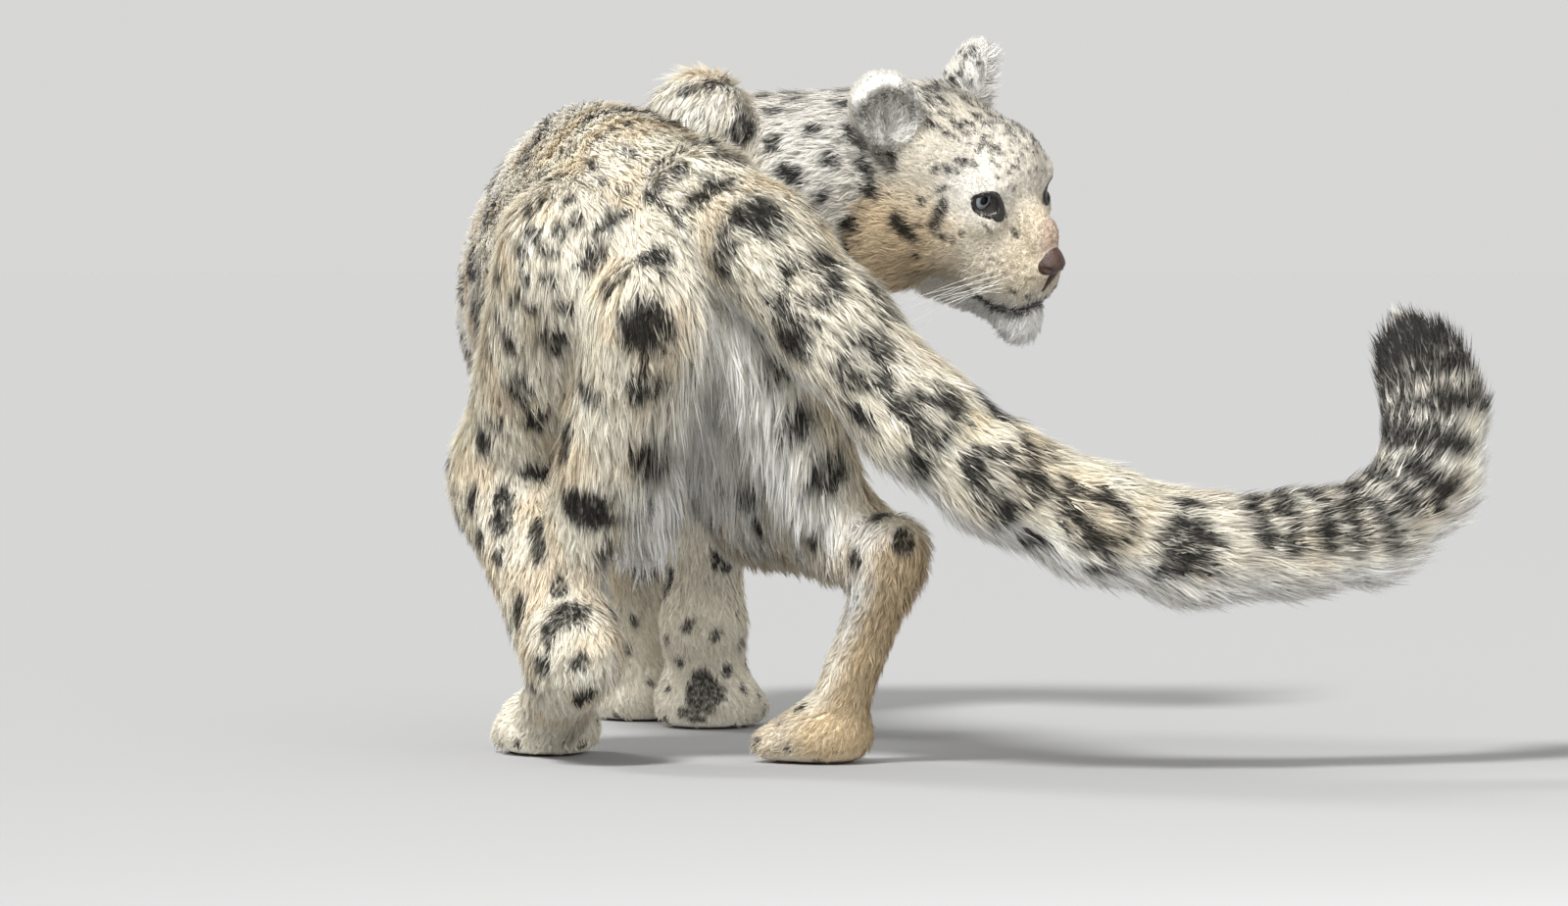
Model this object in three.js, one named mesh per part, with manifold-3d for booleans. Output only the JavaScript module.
// A life-size snow leopard that stands on all four feet with its rump towards the viewer.
// Its trunk bends to its right, its head looks back over the right shoulder, and its long
// tail sweeps out to the right and curls up at the tip. Lengths are in millimetres. While it
// is modelled, X runs to the viewer's right, Y away from the viewer and Z up from the floor.
// The outline is that of the winter coat.
import * as THREE from "three";
import Module from "manifold-3d";
import { mergeVertices } from "three/addons/utils/BufferGeometryUtils.js";

const wasm = await Module();
wasm.setup();

const v = (x, y, z) => new THREE.Vector3(x, y, z);
const rad = THREE.MathUtils.degToRad;
// A compass heading: 0 looks along +Y, 90 along +X.
const heading = (deg) => v(Math.sin(rad(deg)), Math.cos(rad(deg)), 0);
const rightOf = (deg) => heading(deg + 90);
const mix = (a, b, t) => a + (b - a) * t;
const add = (a, ...terms) => {
  const p = a.clone();
  for (const [dir, size] of terms) p.addScaledVector(dir, size);
  return p;
};
const UP = v(0, 0, 1);

// Driving dimensions

// The trunk's midline is an arc from the hips to the withers.
const HIPS = v(-112, 15, 0);
const PELVIS_HEADING = -28;
const CHEST_HEADING = 30;
const TRUNK_LENGTH = 560;
const HIP_HALF_WIDTH = 64;
const HIP_HEIGHT = 425;
const THIGH = 228;
const SHANK = 212;
const UPPER_ARM = 165;
const FOREARM = 195;

// The head: where the point between the eyes is, and how the head is turned.
const EYES = v(190, 480, 455);
const HEAD_TURN = 56;
const HEAD_DROP = 22;
const HEAD_TILT = 11;
const EYEBALL = 14.5;
const LID = EYEBALL + 2;

// Gap that parts the nodes.
const GAP = 0.3;

// Frames

// Degrees that the trunk turns in each millimetre, and the arc that its midline follows.
const TRUNK_TURN = (CHEST_HEADING - PELVIS_HEADING) / TRUNK_LENGTH;
const TRUNK_ARC = (() => {
  const radius = 1 / rad(TRUNK_TURN);
  return { radius, middle: HIPS.clone().addScaledVector(rightOf(PELVIS_HEADING), radius) };
})();
function trunkAt(s) {
  const deg = PELVIS_HEADING + TRUNK_TURN * s;
  return { at: TRUNK_ARC.middle.clone().addScaledVector(rightOf(deg), -TRUNK_ARC.radius), deg };
}

// Axes of a horizontal form: ahead, to its left, up.
const level = (deg) => [heading(deg), heading(deg - 90), UP];

const HEAD_AXES = (() => {
  const ahead0 = heading(180 - HEAD_TURN);
  const left0 = heading(90 - HEAD_TURN);
  const ahead = add(v(0, 0, 0), [ahead0, Math.cos(rad(HEAD_DROP))], [UP, -Math.sin(rad(HEAD_DROP))]);
  const up0 = add(v(0, 0, 0), [UP, Math.cos(rad(HEAD_DROP))], [ahead0, Math.sin(rad(HEAD_DROP))]);
  const left = add(v(0, 0, 0), [left0, Math.cos(rad(HEAD_TILT))], [up0, Math.sin(rad(HEAD_TILT))]);
  const up = add(v(0, 0, 0), [up0, Math.cos(rad(HEAD_TILT))], [left0, -Math.sin(rad(HEAD_TILT))]);
  return [ahead, left, up];
})();
// A point of the head: ahead of the eyes, to the animal's left, and up.
const onHead = (x, y, z) =>
  add(EYES, [HEAD_AXES[0], x], [HEAD_AXES[1], y], [HEAD_AXES[2], z]);

// Where the middle joint of a limb lies, bent towards a side.
function bend(top, foot, upper, lower, towards) {
  const line = foot.clone().sub(top);
  const span = Math.min(line.length(), upper + lower - 1);
  line.normalize();
  const along = (upper * upper - lower * lower + span * span) / (2 * span);
  const out = Math.sqrt(Math.max(upper * upper - along * along, 0));
  const side = towards.clone().addScaledVector(line, -towards.dot(line)).normalize();
  return add(top, [line, along], [side, out]);
}

// Forms of flesh and coat

// Roughly how far a point lies outside an ellipsoid, from its place in units of the half axes.
function ellipsoidDistance(place, radii) {
  const k0 = Math.hypot(...place);
  const k1 = Math.hypot(...place.map((x, i) => x / radii[i]));
  return k1 > 1e-9 ? (k0 * (k0 - 1)) / k1 : -Math.min(...radii);
}

const cone = (a, b, ra, rb) => ({ a, b, ra, rb });
const ball = (at, axes, radii) => ({ at, axes, radii });

function distanceTo(form, p) {
  if (form === "trunk") return distanceToTrunk(p);
  if (form.axes) {
    const d = p.clone().sub(form.at);
    return ellipsoidDistance(form.axes.map((axis, i) => d.dot(axis) / form.radii[i]), form.radii);
  }
  const { a, b, ra, rb } = form;
  const ab = b.clone().sub(a);
  const ap = p.clone().sub(a);
  const t = Math.max(0, Math.min(1, ap.dot(ab) / ab.lengthSq()));
  return ap.addScaledVector(ab, -t).length() - mix(ra, rb, t);
}

// One soft body from several forms that flow into each other over about k.
function softUnion(forms, k) {
  return (p) => {
    let sum = 0;
    for (const form of forms) {
      const d = distanceTo(form, p);
      if (d < 12 * k) sum += Math.exp(-d / k);
    }
    return sum > 0 ? -k * Math.log(sum) : 12 * k;
  };
}
const meet = (a, b, k) => {
  const h = Math.max(k - Math.abs(a - b), 0) / k;
  return Math.min(a, b) - (h * h * k) / 4;
};

// The trunk's cross-sections: distance along the arc, height of the middle, half width,
// half height, and how much narrower the top is than the belly.
const TRUNK = [
  [-62, 432, 62, 86, 0.02],
  [10, 438, 92, 110, 0.1],
  [110, 430, 94, 126, 0.2],
  [215, 408, 100, 138, 0.24],
  [320, 398, 104, 140, 0.24],
  [430, 398, 98, 136, 0.18],
  [530, 408, 82, 121, 0.1],
  [606, 402, 66, 94, 0],
];
const TRUNK_END = 58;

// A smooth curve through the rows of a table, at a place counted in rows.
function between(rows, place) {
  const i = Math.max(0, Math.min(rows.length - 2, Math.floor(place)));
  const t = place - i;
  const row = (m) => rows[Math.max(0, Math.min(rows.length - 1, m))];
  return rows[0].map((_, c) => {
    const [p0, p1, p2, p3] = [row(i - 1)[c], row(i)[c], row(i + 1)[c], row(i + 2)[c]];
    const a = 2 * p1 + (p2 - p0) * t + (2 * p0 - 5 * p1 + 4 * p2 - p3) * t * t;
    return (a + (3 * p1 - p0 - 3 * p2 + p3) * t * t * t) / 2;
  });
}

function distanceToTrunk(p) {
  const { middle, radius } = TRUNK_ARC;
  const d = p.clone().sub(middle);
  const deg = THREE.MathUtils.radToDeg(Math.atan2(d.y, -d.x));
  const s = (deg - PELVIS_HEADING) / TRUNK_TURN;
  const last = TRUNK.length - 1;
  const held = Math.max(TRUNK[0][0], Math.min(TRUNK[last][0], s));
  let i = 0;
  while (i < last - 1 && TRUNK[i + 1][0] < held) i++;
  const place = i + (held - TRUNK[i][0]) / (TRUNK[i + 1][0] - TRUNK[i][0]);
  const [, z, w, h, taper] = between(TRUNK, place);
  const up = (p.z - z) / h;
  const x = (s - held) / TRUNK_END;
  const y = (radius - Math.hypot(d.x, d.y)) / w / (1 - taper * Math.max(-1, Math.min(1, up)));
  return ellipsoidDistance([x, y, up], [TRUNK_END, w, h]);
}

// Hind legs: the ankle, ball and lie of each foot, and then the joints above.
function hindLeg(side, toe, footHeading, ankleBack, ankleHeight, kneeHeading) {
  const hip = add(HIPS, [rightOf(PELVIS_HEADING), side * HIP_HALF_WIDTH], [UP, HIP_HEIGHT]);
  const ahead = heading(footHeading);
  const ankle = add(toe, [ahead, -ankleBack], [UP, ankleHeight - toe.z]);
  const knee = bend(hip, ankle, THIGH, SHANK, heading(kneeHeading));
  return { side, hip, knee, ankle, toe, ahead, footHeading };
}
const BALL_HEIGHT = 26;
const hindLeft = hindLeg(-1, v(-199, 106, BALL_HEIGHT), -8, 158, 98, -22);
const hindRight = hindLeg(1, v(34, 0, BALL_HEIGHT), -44, 74, 180, -26);

function foreLeg(side, toe, footHeading, bladeHeight) {
  const { at } = trunkAt(TRUNK_LENGTH - 5);
  const ahead = heading(CHEST_HEADING);
  const out = rightOf(CHEST_HEADING);
  const blade = add(at, [out, side * 50], [ahead, -20], [UP, bladeHeight]);
  const shoulder = add(at, [out, side * 66], [ahead, 62], [UP, 400]);
  const wrist = add(toe, [heading(footHeading), -14], [UP, 62]);
  const elbow = bend(shoulder, wrist, UPPER_ARM, FOREARM, add(v(0, 0, 0), [ahead, -1]));
  return { side, blade, shoulder, elbow, wrist, toe, footHeading };
}
const foreRight = foreLeg(1, v(-66, 468, BALL_HEIGHT), 12, 524);
const foreLeft = foreLeg(-1, v(-126, 575, BALL_HEIGHT), 22, 478);

function paw(toe, deg, halfWidth) {
  const ahead = heading(deg);
  const out = rightOf(deg);
  const forms = [ball(add(toe, [ahead, 4]), level(deg), [44, halfWidth, 25])];
  for (const n of [-1.5, -0.5, 0.5, 1.5]) {
    const reach = 40 - 5 * Math.abs(n);
    const tip = add(toe, [ahead, reach], [out, (n * halfWidth) / 2.1], [UP, -7]);
    forms.push(cone(add(toe, [out, (n * halfWidth) / 2.6]), tip, 15, 15));
  }
  return forms;
}

function hindForms({ side, hip, knee, ankle, toe, ahead, footHeading }) {
  const back = heading(PELVIS_HEADING);
  const seat = add(hip, [back, -88], [rightOf(PELVIS_HEADING), -side * 14], [UP, -38]);
  const calf = knee.clone().lerp(ankle, 0.5);
  const heel = add(ankle, [ahead, -14], [UP, 4]);
  return [
    cone(hip, knee, 78, 50),
    cone(seat, add(calf, [back, -18]), 56, 40),
    cone(knee, ankle, 52, 33),
    cone(heel, add(toe, [ahead, -8], [UP, 4]), 28, 26),
    ...paw(toe, footHeading, 40),
  ];
}
function foreForms({ blade, shoulder, elbow, wrist, toe, footHeading }) {
  return [
    cone(blade, shoulder, 46, 66),
    cone(shoulder, elbow, 62, 46),
    cone(elbow, wrist, 42, 35),
    cone(wrist, toe, 35, 32),
    ...paw(toe, footHeading, 42),
  ];
}

const TAIL = [
  [-66, -58, 482, 48],
  [-22, -112, 444, 50],
  [38, -150, 378, 50],
  [104, -172, 306, 50],
  [170, -178, 254, 49],
  [250, -168, 215, 49],
  [333, -148, 190, 48],
  [417, -122, 190, 45],
  [487, -98, 198, 44],
  [534, -80, 236, 44],
  [546, -66, 290, 43],
  [537, -56, 328, 38],
  [528, -50, 346, 26],
];
const tailForms = TAIL.slice(1).map(([x, y, z, r], i) => {
  const [x0, y0, z0, r0] = TAIL[i];
  return cone(v(x0, y0, z0), v(x, y, z), r0, r);
});

// The centre of an eye, -1 being the animal's right and 1 its left.
const eyeAt = (n) => onHead(-9, n * 34, 8.5);

const nape = onHead(-104, 0, 2);
const neckForms = [
  cone(add(trunkAt(575).at, [UP, 452]), v(-10, 572, 462), 76, 80),
  cone(v(-10, 572, 462), nape, 80, 66),
];

const headBall = (x, y, z, rx, ry, rz) => ball(onHead(x, y, z), HEAD_AXES, [rx, ry, rz]);
const headCone = (a, b, ra, rb) => cone(onHead(...a), onHead(...b), ra, rb);
const bothSides = (make) => [make(-1), make(1)];
const headForms = [
  headBall(-62, 0, 6, 68, 62, 60),
  headBall(-16, 0, 26, 42, 46, 40),
  ...bothSides((n) => headBall(1, n * 34, 21, 15, 16, 11)),
  ...bothSides((n) => ball(eyeAt(n), HEAD_AXES, [LID, LID, LID])),
  ...bothSides((n) => headBall(-38, n * 44, -36, 42, 32, 36)),
  ...bothSides((n) => headBall(-66, n * 45, -54, 42, 34, 52)),
  ...bothSides((n) => headBall(6, n * 34, -10, 17, 14, 15)),
  ...bothSides((n) => headBall(6, n * 22, -48, 36, 24, 36)),
  headCone([-2, 0, 4], [44, 0, -14], 23, 16),
  headBall(30, 0, -48, 29, 26, 27),
  ...bothSides((n) => headBall(38, n * 17, -58, 20, 17, 21)),
  headBall(63, 0, -33, 11, 14, 12),
  headCone([-40, 0, -80], [36, 0, -86], 32, 20),
  headBall(44, 0, -98, 18, 20, 18),
];

// The loose skin and long hair that hang between the hind legs.
const { at: groin, deg: groinHeading } = trunkAt(80);
const pouch = ball(add(groin, [rightOf(groinHeading), 16], [UP, 300]), level(groinHeading), [66, 58, 96]);

const bodyField = softUnion(
  [
    "trunk",
    pouch,
    ...hindForms(hindLeft),
    ...hindForms(hindRight),
    ...foreForms(foreLeft),
    ...foreForms(foreRight),
    ...neckForms,
  ],
  9,
);
const tailField = softUnion(tailForms, 9);
const headField = softUnion(headForms, 6);
const leopard = (p) => meet(meet(bodyField(p), tailField(p), 30), headField(p), 24);

// Skinning: a net of quads over the cells that the surface passes through.

const CORNERS = [0, 1, 2, 3, 4, 5, 6, 7].map((c) => [c & 1, (c >> 1) & 1, c >> 2]);
const EDGES = CORNERS.flatMap((_, a) => [1, 2, 4].filter((bit) => !(a & bit)).map((bit) => [a, a | bit]));
const FACES = [0, 1, 2].flatMap((axis) =>
  [0, 1].map((side) => [0, 1, 2, 3, 4, 5, 6, 7].filter((c) => ((c >> axis) & 1) === side)),
);

// The crossed edges of a cell, grouped by the sheet of surface that crosses them.
function sheetsOf(d) {
  const crossed = EDGES.map(([a, b]) => d[a] < 0 !== d[b] < 0);
  const group = EDGES.map((_, e) => e);
  const find = (e) => (group[e] === e ? e : find(group[e]));
  for (const face of FACES) {
    const round = EDGES.keys().filter((e) => crossed[e] && EDGES[e].every((c) => face.includes(c)));
    const list = [...round];
    for (const e of list)
      for (const f of list) {
        const shared = EDGES[e].find((c) => d[c] < 0 && EDGES[f].includes(c));
        if (list.length === 2 || shared !== undefined) group[find(e)] = find(f);
      }
  }
  const sheets = new Map();
  crossed.forEach((yes, e) => {
    if (yes) sheets.set(find(e), [...(sheets.get(find(e)) ?? []), e]);
  });
  return [...sheets.values()];
}

function surfaceNet(field, bounds, step, shift = 0) {
  const lo = bounds.min.toArray().map((x) => x - (0.5 + shift) * step);
  const n = bounds.max.toArray().map((x, i) => Math.ceil((x - lo[i]) / step) + 1);
  const at = (i, j, k) => i + n[0] * (j + n[1] * k);
  const place = (i, j, k) => v(lo[0] + i * step, lo[1] + j * step, lo[2] + k * step);
  const values = new Float32Array(n[0] * n[1] * n[2]);
  for (let k = 0; k < n[2]; k++)
    for (let j = 0; j < n[1]; j++)
      for (let i = 0; i < n[0]; i++) {
        const edge = !i || !j || !k || i === n[0] - 1 || j === n[1] - 1 || k === n[2] - 1;
        const d = field(place(i, j, k));
        values[at(i, j, k)] = edge ? Math.max(d, step / 2) : d;
      }
  const vertexOf = new Map();
  const positions = [];
  for (let k = 0; k < n[2] - 1; k++)
    for (let j = 0; j < n[1] - 1; j++)
      for (let i = 0; i < n[0] - 1; i++) {
        const d = CORNERS.map(([a, b, c]) => values[at(i + a, j + b, k + c)]);
        for (const sheet of sheetsOf(d)) {
          const sum = v(0, 0, 0);
          for (const e of sheet) {
            const [a, b] = EDGES[e];
            sum.add(v(...CORNERS[a]).lerp(v(...CORNERS[b]), d[a] / (d[a] - d[b])));
            vertexOf.set(12 * at(i, j, k) + e, positions.length / 3);
          }
          sum.divideScalar(sheet.length);
          const start = place(i + sum.x, j + sum.y, k + sum.z);
          positions.push(...settle(field, start, step / 2).toArray());
        }
      }
  // Each grid edge that the surface crosses carries a quad between the four cells round it.
  const index = [];
  for (let k = 0; k < n[2] - 1; k++)
    for (let j = 0; j < n[1] - 1; j++)
      for (let i = 0; i < n[0] - 1; i++)
        for (const axis of [0, 1, 2]) {
          const next = [i, j, k];
          next[axis] += 1;
          const here = values[at(i, j, k)] < 0;
          if (here === values[at(...next)] < 0) continue;
          const [one, two] = [(axis + 1) % 3, (axis + 2) % 3];
          const q = [[0, 0], [1, 0], [1, 1], [0, 1]].map(([a, b]) => {
            const cell = [i, j, k];
            cell[one] -= a;
            cell[two] -= b;
            const low = (a << one) | (b << two);
            const e = EDGES.findIndex(([from, to]) => from === low && to === (low | (1 << axis)));
            return vertexOf.get(12 * at(...cell) + e);
          });
          if (!here) q.reverse();
          const corner = (m) => v(...positions.slice(3 * q[m], 3 * q[m] + 3));
          const short = corner(0).distanceTo(corner(2)) < corner(1).distanceTo(corner(3));
          const order = short ? [0, 1, 2, 0, 2, 3] : [1, 2, 3, 1, 3, 0];
          index.push(...order.map((m) => q[m]));
        }
  return solidFrom(new Float32Array(positions), new Uint32Array(index));
}

const solidFrom = (vertProperties, triVerts) =>
  new wasm.Manifold(new wasm.Mesh({ numProp: 3, vertProperties, triVerts }));

// Moves a point onto the field's surface, by at most a given distance.
function settle(field, p, most) {
  const q = p.clone();
  for (let round = 0; round < 2; round++) {
    const d = field(q);
    const slope = v(
      field(add(q, [v(1, 0, 0), 1])) - d,
      field(add(q, [v(0, 1, 0), 1])) - d,
      field(add(q, [UP, 1])) - d,
    );
    q.addScaledVector(slope, -d / Math.max(slope.lengthSq(), 0.1));
  }
  return p.clone().add(q.sub(p).clampLength(0, most));
}

// The animal's skin inside some bounds. Where the net pinches, it is drawn again a little aside.
function skinWithin(bounds, step) {
  for (const shift of [0, 0.21, 0.43, 0.67, 0.13, 0.34, 0.55, 0.81]) {
    try {
      return surfaceNet(leopard, bounds, step, shift);
    } catch {
      continue;
    }
  }
  throw new Error("no closed skin");
}

// A three.js geometry as a solid, set in a frame of axes.
function solid(geometry, at = v(0, 0, 0), axes = [v(1, 0, 0), v(0, 1, 0), UP]) {
  const shape = geometry.clone();
  shape.deleteAttribute("normal");
  shape.deleteAttribute("uv");
  const merged = mergeVertices(shape, 1e-4);
  merged.applyMatrix4(new THREE.Matrix4().makeBasis(...axes).setPosition(at));
  return solidFrom(new Float32Array(merged.attributes.position.array), new Uint32Array(merged.index.array));
}

// A block that parts one node from the rest: it starts at a point and runs on past another.
function block(from, towards, halfWidth, halfHeight, length) {
  const along = towards.clone().sub(from).normalize();
  const across = v(0, 0, 0).crossVectors(along, Math.abs(along.z) > 0.95 ? v(0, 1, 0) : UP).normalize();
  const over = v(0, 0, 0).crossVectors(across, along);
  return { at: add(from, [along, length / 2]), axes: [across, over, along], half: [halfWidth, halfHeight, length / 2] };
}
const blockSolid = ({ at, axes, half }, grow = 0) =>
  solid(new THREE.BoxGeometry(...half.map((h) => 2 * (h + grow))), at, handed(axes));
const handed = ([a, b, c]) => (v(0, 0, 0).crossVectors(a, b).dot(c) > 0 ? [a, b, c] : [b, a, c]);

function boundsOf({ at, axes, half }, margin) {
  const reach = [0, 1, 2].map((i) =>
    axes.reduce((sum, axis, m) => sum + Math.abs(axis.getComponent(i)) * half[m], margin),
  );
  return new THREE.Box3(at.clone().sub(v(...reach)), at.clone().add(v(...reach)));
}

const largest = (shape) =>
  shape.decompose().reduce((best, piece) => (piece.volume() > best.volume() ? piece : best));
const aboveFloor = (shape) => shape.trimByPlane([0, 0, 1], 0);

// The nodes

const leopardGroup = new THREE.Group();
function addNode(name, shape, color, roughness = 0.9) {
  const { numProp, vertProperties, triVerts } = largest(shape).getMesh();
  const geometry = new THREE.BufferGeometry();
  geometry.setAttribute("position", new THREE.BufferAttribute(new Float32Array(vertProperties), numProp));
  geometry.setIndex(new THREE.BufferAttribute(new Uint32Array(triVerts), 1));
  const mesh = new THREE.Mesh(geometry, new THREE.MeshStandardMaterial({ color, roughness, metalness: 0 }));
  mesh.name = name;
  leopardGroup.add(mesh);
}

const CREAM = 0xcbbd9f;
const SMOKE = 0xa39e93;
const WHITE = 0xddd8cc;
const IRIS = 0x9aa7a8;
const LEATHER = 0x6b4a44;

// Locks of long hair

// A seeded source of numbers from 0 to 1, so that the coat is the same each time.
let seed = 20;
function chance() {
  seed = (seed * 16807) % 2147483647;
  return seed / 2147483647;
}
const vary = (size, share = 0.2) => size * (1 + share * (2 * chance() - 1));

// A flat, tapered lock: it leaves the skin near a point, runs along its lie and then hangs.
const LOCK_THICK = 9;
const LOCK_RINGS = [
  // share of the length, of the width and of the thickness
  [0, 0.9, 1],
  [0.35, 1, 1],
  [0.72, 0.66, 0.7],
];
const locks = [];
function addLock(near, lie, length, width, hang = 0.6, lift = 0.16) {
  const root = settle(leopard, settle(leopard, near, 80), 80);
  const out = v(1, 1, 1).set(
    leopard(add(root, [v(1, 0, 0), 1])),
    leopard(add(root, [v(0, 1, 0), 1])),
    leopard(add(root, [UP, 1])),
  ).normalize();
  const along = add(lie, [out, -lie.dot(out)]).normalize();
  const long = vary(length);
  const start = add(root, [out, -LOCK_THICK], [along, -0.12 * long]);
  const centre = (t) => add(start, [along, long * t], [out, long * lift * t], [UP, -hang * long * 0.35 * t * t]);
  const across = v(0, 0, 0).crossVectors(along, out).normalize();
  const wide = vary(width) / 2;
  const points = LOCK_RINGS.flatMap(([t, w, h]) => {
    const face = v(0, 0, 0).crossVectors(across, add(centre(t + 0.05), [centre(t), -1])).normalize();
    return [
      add(centre(t), [across, wide * w]),
      add(centre(t), [face, (LOCK_THICK / 2) * h]),
      add(centre(t), [across, -wide * w]),
      add(centre(t), [face, (-LOCK_THICK / 2) * h]),
    ];
  });
  points.push(centre(1), centre(0));
  const tip = points.length - 2;
  const index = [];
  for (let side = 0; side < 4; side++) {
    const next = (side + 1) % 4;
    index.push(tip + 1, side, next);
    for (let ring = 0; ring < LOCK_RINGS.length - 1; ring++) {
      const [a, b, c, d] = [4 * ring + side, 4 * ring + next, 4 * ring + 4 + next, 4 * ring + 4 + side];
      index.push(a, c, b, a, d, c);
    }
    index.push(tip - 4 + next, tip - 4 + side, tip);
  }
  const hair = solidFrom(new Float32Array(points.flatMap((p) => p.toArray())), new Uint32Array(index));
  locks.push({ hair, bounds: new THREE.Box3().setFromPoints(points) });
}

// A row of locks from one place to another, staggered a little.
function rowOfLocks(count, placeAt, lie, length, width, hang, lift) {
  for (let i = 0; i < count; i++) {
    const t = (i + 0.5 + 0.3 * (chance() - 0.5)) / count;
    addLock(placeAt(t), lie.clone ? lie : lie(t), length, width, hang, lift);
  }
}

const behind = heading(PELVIS_HEADING + 180);
const sideways = rightOf(PELVIS_HEADING);
// Between the hind legs, in tiers that overlap downwards
[
  [325, 66, 4],
  [278, 62, 4],
  [232, 50, 3],
].forEach(([z, half, count]) =>
  rowOfLocks(
    count,
    (t) => add(groin, [behind, 60], [sideways, 16 + mix(-half, half, t)], [UP, z]),
    add(v(0, 0, -1), [behind, 0.15]),
    92,
    56,
  ),
);
// Under the bent right shank, where the long hair of the inner thigh hangs down
rowOfLocks(
  4,
  (t) => hindRight.knee.clone().lerp(hindRight.ankle, mix(0.05, 0.72, t)).add(v(-12, -14, -40)),
  v(-0.1, -0.1, -1),
  72,
  50,
  0.6,
  0.5,
);
// Back of each thigh
for (const { hip, knee, side } of [hindLeft, hindRight])
  for (const share of [0.35, 0.7])
    rowOfLocks(
      share < 0.5 ? 3 : 2,
      (t) => add(hip.clone().lerp(knee, share), [behind, 80], [sideways, side * mix(-50, 30, t)], [UP, -30]),
      add(v(0, 0, -1), [sideways, side * 0.35]),
      80,
      48,
    );
// Belly and brisket, two rows along the trunk
for (const side of [-1, 1])
  rowOfLocks(
    8,
    (t) => {
      const { at, deg } = trunkAt(mix(140, 600, t));
      return add(at, [rightOf(deg), side * 36], [UP, 262]);
    },
    (t) => add(heading(trunkAt(mix(140, 600, t)).deg + 180), [UP, -0.7]),
    92,
    66,
    0.7,
    0.35,
  );
// Underside of the tail
rowOfLocks(
  11,
  (t) => {
    const [x, y, z, r] = between(TAIL, mix(0.6, 8.2, t));
    return v(x, y, z - 0.9 * r);
  },
  (t) => {
    const [x, y, z] = between(TAIL, mix(0.6, 8.2, t));
    const [x1, y1, z1] = between(TAIL, mix(0.6, 8.2, t) + 0.2);
    return v(x1 - x, y1 - y, z1 - z).normalize();
  },
  76,
  56,
  0.12,
  0.12,
);
// Ruff behind the cheeks, and the chin
for (const side of [-1, 1])
  rowOfLocks(
    4,
    (t) => onHead(mix(-74, -50, t), side * mix(80, 46, t), mix(-30, -92, t)),
    add(v(0, 0, -0.8), [HEAD_AXES[0], -1], [HEAD_AXES[2], -0.3]),
    40,
    30,
    0.4,
  );
rowOfLocks(3, (t) => onHead(34, mix(-14, 14, t), -110), add(v(0, 0, -1), [HEAD_AXES[0], -0.4]), 26, 18, 0.2);

const hairyWithin = (bounds, step) => withLocks(skinWithin(bounds, step), bounds);
const withLocks = (skin, bounds) =>
  locks.filter((lock) => lock.bounds.intersectsBox(bounds)).reduce((sum, lock) => sum.add(lock.hair), skin);

// Blocks already taken, each grown by the gap, which later nodes leave free.
const taken = [];
function takeBlock(name, cell, step, color, whole = hairyWithin(boundsOf(cell, 1.5 * step), step)) {
  const node = taken.reduce((rest, other) => rest.subtract(other), whole.intersect(blockSolid(cell)));
  addNode(name, aboveFloor(node), color);
  taken.push(blockSolid(cell, GAP));
}

// Head

const HEAD_STEP = 14.8;
const NOSE_STEP = 7;
const HEAD_BACK = -112;

// The frame of an eye: out along its gaze, towards the nose, and up.
function eyeFrame(n) {
  const gaze = add(v(0, 0, 0), [HEAD_AXES[0], 0.93], [HEAD_AXES[1], n * 0.34], [HEAD_AXES[2], 0.08]).normalize();
  const side = add(v(0, 0, 0), [HEAD_AXES[1], -n], [HEAD_AXES[2], -0.42]);
  side.addScaledVector(gaze, -side.dot(gaze)).normalize();
  const over = v(0, 0, 0).crossVectors(gaze, side).multiplyScalar(-n);
  return { gaze, side, over };
}

// The opening between the lids, an almond with its tear corner towards the nose.
function lidOpening(n) {
  const almond = new THREE.Shape();
  almond.moveTo(-12.5, 0);
  almond.bezierCurveTo(-8, 8.5, 5, 10, 14.5, -1);
  almond.bezierCurveTo(6, -7.5, -6, -8.5, -12.5, 0);
  const prism = new THREE.ExtrudeGeometry(almond, { depth: 30, bevelEnabled: false, curveSegments: 7 });
  const { gaze, side, over } = eyeFrame(n);
  return framed(prism, eyeAt(n), side, over, gaze);
}
// A solid in a frame that may be left-handed, as on the mirrored side of the head.
function framed(geometry, at, a, b, c) {
  const mirrored = v(0, 0, 0).crossVectors(a, b).dot(c) < 0;
  if (!mirrored) return solid(geometry, at, [a, b, c]);
  return solid(reversed(geometry.scale(1, -1, 1)), at, [a, b.clone().negate(), c]);
}
function reversed(geometry) {
  const plain = geometry.index ? geometry.toNonIndexed() : geometry.clone();
  const p = plain.attributes.position;
  for (let i = 0; i < p.count; i += 3) {
    const a = v(p.getX(i), p.getY(i), p.getZ(i));
    const b = v(p.getX(i + 1), p.getY(i + 1), p.getZ(i + 1));
    p.setXYZ(i, b.x, b.y, b.z);
    p.setXYZ(i + 1, a.x, a.y, a.z);
  }
  return plain;
}

// The height of the closed mouth: low under the cheeks, higher at its corners and in front.
const { smoothstep } = THREE.MathUtils;
const mouthHeight = (x) => -82 + 17 * smoothstep(x, 48, 68) + 8 * (1 - smoothstep(x, 6, 28));

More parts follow.
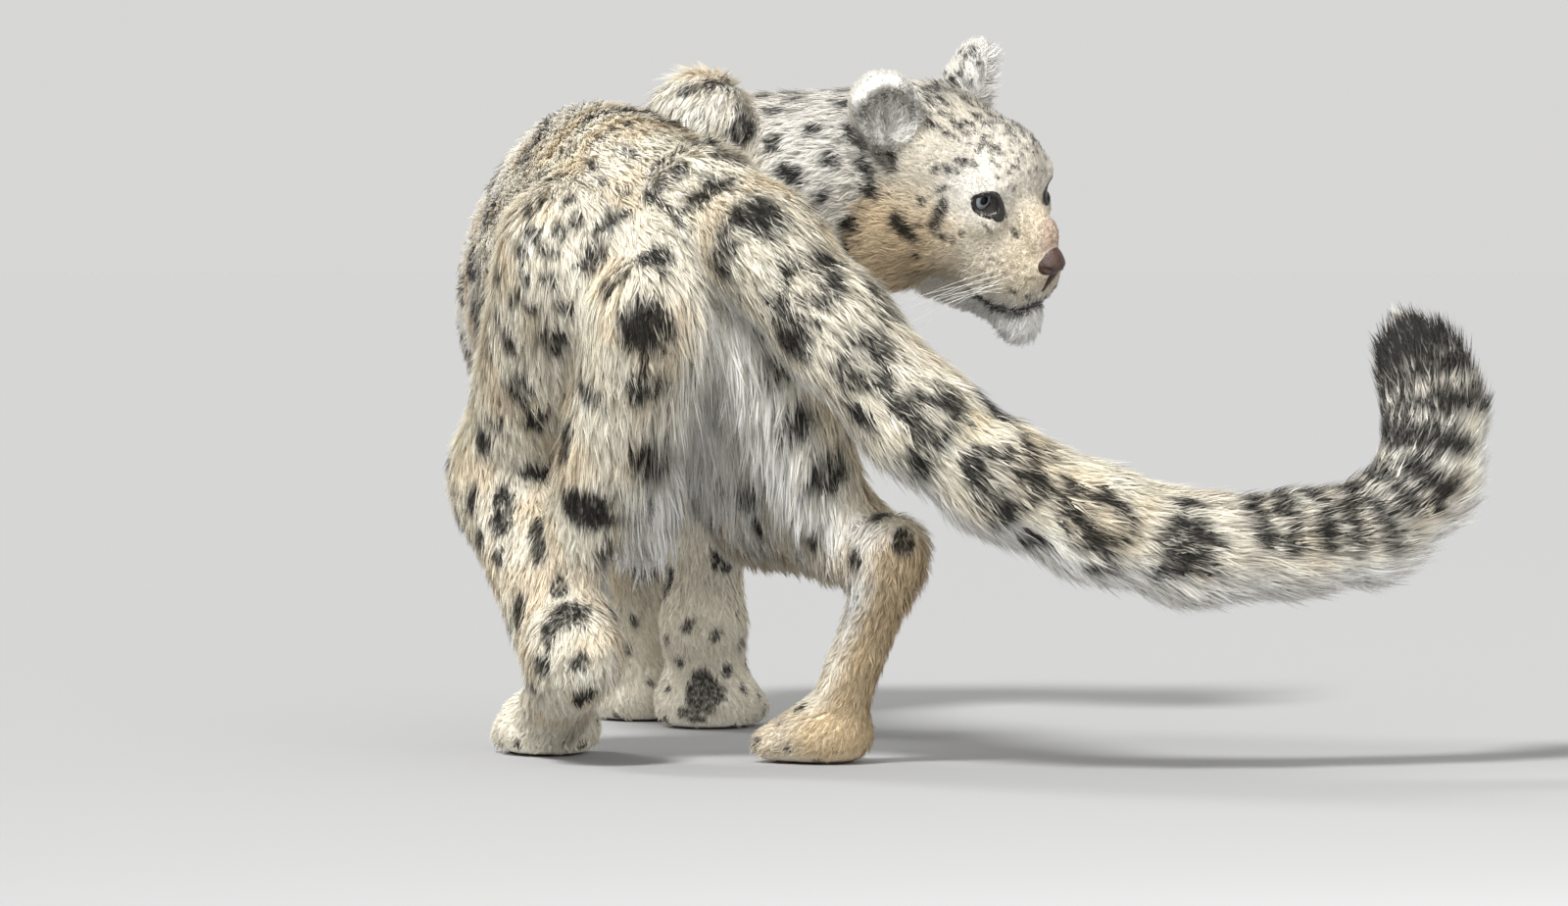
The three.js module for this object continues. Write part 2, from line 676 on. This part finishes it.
// The line of the closed mouth: a thin bent blade round the front of the muzzle.
function mouthLine() {
  const outline = new THREE.Shape();
  outline.absellipse(2, 0, 90, 62, -Math.PI / 2, Math.PI / 2, false);
  outline.absellipse(2, 0, 54, 33, Math.PI / 2, -Math.PI / 2, true);
  const blade = new THREE.ExtrudeGeometry(outline, { depth: 2.4, bevelEnabled: false, curveSegments: 9 });
  const p = blade.attributes.position;
  for (let i = 0; i < p.count; i++) {
    const x = p.getX(i);
    p.setZ(i, p.getZ(i) + mouthHeight(x));
  }
  return solid(blade, EYES, HEAD_AXES);
}

function nostril(n) {
  const hole = new THREE.SphereGeometry(1, 6, 4).scale(5, 2.6, 3.4);
  hole.rotateZ(n * 0.5);
  return solid(hole, onHead(73, n * 6.5, -35), HEAD_AXES);
}

// An ear is a rounded shell that opens forwards and outwards.
const EAR_HEIGHT = 36;
function earFrame(n) {
  const along = add(v(0, 0, 0), [HEAD_AXES[0], -0.3], [HEAD_AXES[1], n * 0.5], [HEAD_AXES[2], 0.81]).normalize();
  const opens = add(v(0, 0, 0), [HEAD_AXES[0], 0.8], [HEAD_AXES[1], n * 0.6]);
  opens.addScaledVector(along, -opens.dot(along)).normalize();
  const across = v(0, 0, 0).crossVectors(opens, along);
  return { root: onHead(-93, n * 50, 38), along, opens, across };
}
function earShell(n) {
  const { root, along, opens, across } = earFrame(n);
  const middle = add(root, [along, 22]);
  const axes = handed([across, opens, along]);
  const round = (rx, ry, rz, at) => {
    const radii = axes[0] === across ? [rx, ry, rz] : [ry, rx, rz];
    return solid(new THREE.SphereGeometry(1, 12, 8).rotateX(Math.PI / 2).scale(...radii), at, axes);
  };
  const shell = round(31, 20, EAR_HEIGHT, middle);
  return shell.subtract(round(24, 15, EAR_HEIGHT - 7, add(middle, [opens, 14], [along, 2])));
}
const earBlock = (n) => {
  const { root, along } = earFrame(n);
  return block(add(root, [along, 16]), add(root, [along, 60]), 44, 44, 60);
};

const headBlock = block(onHead(HEAD_BACK, 0, 0), onHead(0, 0, 0), 135, 150, 230);
let head = hairyWithin(boundsOf(headBlock, 1.5 * HEAD_STEP), HEAD_STEP);
for (const n of [-1, 1]) head = head.add(earShell(n));
for (const n of [-1, 1]) {
  const name = n < 0 ? "right" : "left";
  const eye = new THREE.SphereGeometry(EYEBALL, 12, 8);
  const { gaze, side, over } = eyeFrame(n);
  addNode(`eye_${name}`, framed(eye, eyeAt(n), side, over, gaze), IRIS, 0.1);
  const socket = new THREE.SphereGeometry(EYEBALL + GAP + 0.5, 12, 8);
  head = head.subtract(lidOpening(n)).subtract(framed(socket, eyeAt(n), side, over, gaze));
}
head = head.subtract(mouthLine());
for (const n of [-1, 1]) {
  const cell = earBlock(n);
  addNode(n < 0 ? "ear_right" : "ear_left", head.intersect(blockSolid(cell)), SMOKE);
  head = head.subtract(blockSolid(cell, GAP));
}
const noseBlock = block(onHead(62, 0, -34), onHead(90, 0, -34), 15, 12, 30);
const nose = skinWithin(boundsOf(noseBlock, 8), NOSE_STEP).subtract(nostril(-1)).subtract(nostril(1));
addNode("nose", nose.intersect(blockSolid(noseBlock)), LEATHER, 0.5);
head = head.subtract(blockSolid(noseBlock, GAP));
takeBlock("head", headBlock, HEAD_STEP, CREAM, head);

// Neck

const BODY_STEP = 36;
const LIMB_STEP = 27;
const PAW_STEP = 18;
takeBlock("neck", block(v(10, 566, 478), v(105, 556, 484), 120, 100, 260), 25, CREAM);

// Tail, from its tip back to the rump

const TAIL_STEP = 28;
const station = (i) => v(...TAIL[i].slice(0, 3));
[9, 7, 5, 3, 1].forEach((start, i) => {
  const cell = block(station(start), station(start + 1), 78, 78, 230);
  takeBlock(`tail_${5 - i}`, cell, TAIL_STEP, i ? CREAM : SMOKE);
});

// Legs, each from its foot up

for (const [name, leg] of [["left", hindLeft], ["right", hindRight]]) {
  const { side, hip, knee, ankle, toe } = leg;
  const out = v(0, 0, 0).addScaledVector(rightOf(PELVIS_HEADING), side * 42);
  const hock = ankle.clone().lerp(toe, 0.14);
  const top = hip.clone().lerp(knee, 0.34);
  takeBlock(`hind_foot_${name}`, block(hock, toe, 70, 70, 300), PAW_STEP, CREAM);
  takeBlock(`hind_shank_${name}`, block(knee.clone().lerp(ankle, 0.16), ankle, 82, 82, 260), LIMB_STEP, CREAM);
  takeBlock(`hind_thigh_${name}`, block(top.add(out), knee.clone().add(out), 112, 125, 240), BODY_STEP, CREAM);
}
for (const [name, leg] of [["left", foreLeft], ["right", foreRight]]) {
  const { side, blade, shoulder, elbow, wrist, toe, footHeading } = leg;
  const out = v(0, 0, 0).addScaledVector(rightOf(CHEST_HEADING), side * 34);
  const heel = add(toe, [heading(footHeading), -66], [UP, 10]);
  const top = blade.clone().lerp(shoulder, 0.55);
  takeBlock(`fore_paw_${name}`, block(heel, add(toe, [UP, 10]), 60, 40, 150), PAW_STEP, CREAM);
  takeBlock(`fore_arm_${name}`, block(elbow.clone().lerp(wrist, 0.1), wrist, 60, 60, 240), LIMB_STEP, CREAM);
  takeBlock(`upper_arm_${name}`, block(top.add(out), elbow.clone().add(out), 85, 110, 300), BODY_STEP, CREAM);
}

// Trunk

const whole = hairyWithin(new THREE.Box3(v(-330, -200, 80), v(150, 720, 600)), BODY_STEP);
const TRUNK_CUTS = [["chest", 420], ["ribs", 240], ["belly", 75], ["pelvis", -200]];
for (const [name, s] of TRUNK_CUTS) {
  const { at, deg } = trunkAt(s);
  const cell = block(add(at, [UP, 350]), add(at, [UP, 350], [heading(deg), 1]), 330, 330, 500);
  takeBlock(name, cell, BODY_STEP, name === "pelvis" ? CREAM : SMOKE, whole);
}

const box = new THREE.Box3().setFromObject(leopardGroup);
const middle = box.getCenter(v(0, 0, 0));
leopardGroup.position.set(-middle.x, -middle.y, -box.min.z);

export default leopardGroup;
